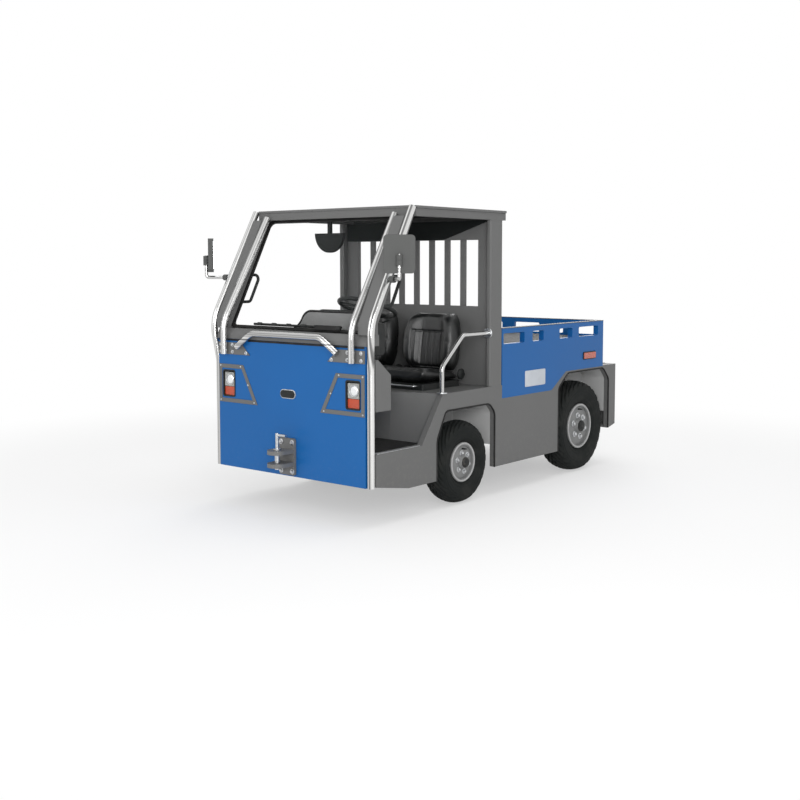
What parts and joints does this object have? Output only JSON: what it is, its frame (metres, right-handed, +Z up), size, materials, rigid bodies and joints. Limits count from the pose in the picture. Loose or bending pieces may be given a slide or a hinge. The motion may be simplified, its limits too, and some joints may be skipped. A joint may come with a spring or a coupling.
{
  "type": "electric tow tractor",
  "caption": "Ride-on electric tow tractor: open cab with sloping windscreen and roof, side-by-side seats, low load deck, steered front wheels and a lifting-pin coupling at each end.",
  "frame": {"origin": "on the ground, under the middle of the length over both couplings and of the width", "axes": "+X forward, +Y to the driver's left, +Z up"},
  "size_m": [3.21, 1.7932, 1.913],
  "materials": {
    "blue_paint": "gloss paint",
    "grey_paint": "satin paint",
    "grey_moulding": "grained moulding",
    "black_steel": "satin chassis paint",
    "black_plastic": "fine grain",
    "black_vinyl": "ribbed vinyl",
    "bright_tube": "polished steel tube",
    "cast_grey": "painted casting",
    "zinc_steel": "zinc plated",
    "rim_silver": "silver paint",
    "tyre": "treaded rubber",
    "rubber_seal": "matt",
    "clear_lens": "ribbed lens",
    "amber_lens": "ribbed lens",
    "red_lens": "ribbed lens",
    "mirror": "silvered glass",
    "glass": "clear laminated glass"
  },
  "bodies": {
    "tractor": {"amber_lenses": "amber_lens", "battery_block": "black_plastic", "body_sides": "blue_paint", "cab_floor": "grey_paint", "cab_rear_wall": "grey_paint", "chassis_frame": "black_steel", "corner_tubes": "bright_tube", "dashboard": "grey_moulding", "drive_motor": "black_steel", "driver_controls": "black_steel", "driver_seat_back": "black_vinyl", "driver_seat_cushion": "black_vinyl", "front_axle": "black_steel", "front_coupling": "cast_grey", "front_panel": "blue_paint", "grab_handles": "black_plastic", "headlamp_lenses": "clear_lens", "headliner": "black_plastic", "hip_rails": "bright_tube", "lamp_housings": "black_plastic", "load_deck": "grey_paint", "mirror_arms": "bright_tube", "mirror_glasses": "mirror", "mirror_housings": "black_plastic", "nose_trim": "grey_paint", "passenger_seat_back": "black_vinyl", "passenger_seat_cushion": "black_vinyl", "rear_axle": "black_steel", "rear_coupling": "cast_grey", "rear_panel": "blue_paint", "rear_posts": "grey_paint", "roof_cover": "grey_paint", "roof_frame": "grey_paint", "seat_bases": "black_plastic", "seat_plinth": "grey_paint", "side_skirts": "grey_paint", "tail_bumper": "grey_paint", "tail_lamps": "red_lens", "wheel_wells": "black_steel", "windscreen_glass": "glass", "windscreen_pillars": "grey_paint", "windscreen_seal": "rubber_seal", "windscreen_sill": "grey_paint", "windscreen_tubes": "bright_tube"},
    "knuckle_left": {"steering_knuckle_left": "black_steel"},
    "knuckle_right": {"steering_knuckle_right": "black_steel"},
    "tie_rod": {"tie_rod": "black_steel"},
    "front_wheel_left": {"front_tyre_left": "tyre", "front_rim_left": "rim_silver"},
    "front_wheel_right": {"front_tyre_right": "tyre", "front_rim_right": "rim_silver"},
    "rear_wheel_left": {"rear_tyre_left": "tyre", "rear_rim_left": "rim_silver"},
    "rear_wheel_right": {"rear_tyre_right": "tyre", "rear_rim_right": "rim_silver"},
    "steering_wheel": {"steering_wheel": "black_plastic"},
    "front_pin": {"front_coupling_pin": "zinc_steel"},
    "rear_pin": {"rear_coupling_pin": "zinc_steel"}
  },
  "joints": [
    {"name": "steer_left", "type": "hinge", "parent": "tractor", "child": "knuckle_left", "pos_m": [0.51, 0.54, 0.27], "axis": [0, 0, 1], "range_deg": [-35, 35]},
    {"name": "steer_right", "type": "hinge", "parent": "tractor", "child": "knuckle_right", "pos_m": [0.51, -0.54, 0.27], "axis": [0, 0, 1], "range_deg": [-35, 35]},
    {"name": "tie_rod_pivot", "type": "hinge", "parent": "knuckle_left", "child": "tie_rod", "pos_m": [0.36, 0.47, 0.2], "axis": [0, 0, 1], "range_deg": [-41, 41]},
    {"name": "front_left_spin", "type": "hinge", "parent": "knuckle_left", "child": "front_wheel_left", "pos_m": [0.51, 0.59, 0.27], "axis": [0, 1, 0], "continuous": true},
    {"name": "front_right_spin", "type": "hinge", "parent": "knuckle_right", "child": "front_wheel_right", "pos_m": [0.51, -0.59, 0.27], "axis": [0, 1, 0], "continuous": true},
    {"name": "rear_left_spin", "type": "hinge", "parent": "tractor", "child": "rear_wheel_left", "pos_m": [-0.971, 0.57, 0.338], "axis": [0, 1, 0], "continuous": true},
    {"name": "rear_right_spin", "type": "hinge", "parent": "tractor", "child": "rear_wheel_right", "pos_m": [-0.971, -0.57, 0.338], "axis": [0, 1, 0], "continuous": true},
    {"name": "steering_wheel_turn", "type": "hinge", "parent": "tractor", "child": "steering_wheel", "pos_m": [1.01, 0.27, 1.28], "axis": [-0.342, 0, 0.9397], "continuous": true},
    {"name": "front_pin_lift", "type": "slide", "parent": "tractor", "child": "front_pin", "axis": [0, 0, 1], "range_m": [0, 0.13]},
    {"name": "rear_pin_lift", "type": "slide", "parent": "tractor", "child": "rear_pin", "axis": [0, 0, 1], "range_m": [0, 0.13]}
  ],
  "couplings": [
    {"joint": "steer_right", "follows": "steer_left", "ratio": 1},
    {"joint": "tie_rod_pivot", "follows": "steer_left", "ratio": -1.1359}
  ]
}
